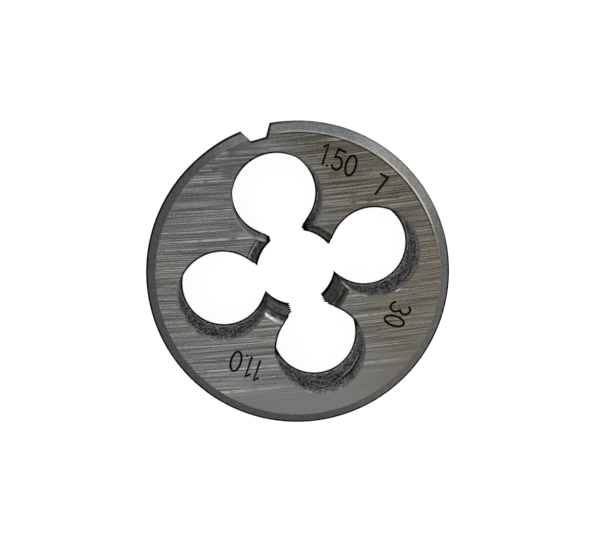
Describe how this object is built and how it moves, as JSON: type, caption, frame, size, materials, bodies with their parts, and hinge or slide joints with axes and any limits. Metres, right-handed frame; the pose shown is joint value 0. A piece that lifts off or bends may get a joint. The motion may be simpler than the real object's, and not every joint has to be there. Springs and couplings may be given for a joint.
{
  "type": "round threading die",
  "caption": "Round disc-shaped die that cuts a left-hand screw thread on a bar, with chip holes, lead cones, a notch and screw recesses in its rim.",
  "frame": {"origin": "centre of the bottom face, on the axis of the thread", "axes": "+Z along the thread axis, up through the marked face; +Y towards the notch in the rim"},
  "size_m": [0.03, 0.0299, 0.011],
  "materials": {
    "ground_steel": "surface-ground faces with fine grinding lines, darker machined holes"
  },
  "bodies": {
    "root": {"threading_die": "ground_steel"}
  },
  "joints": []
}
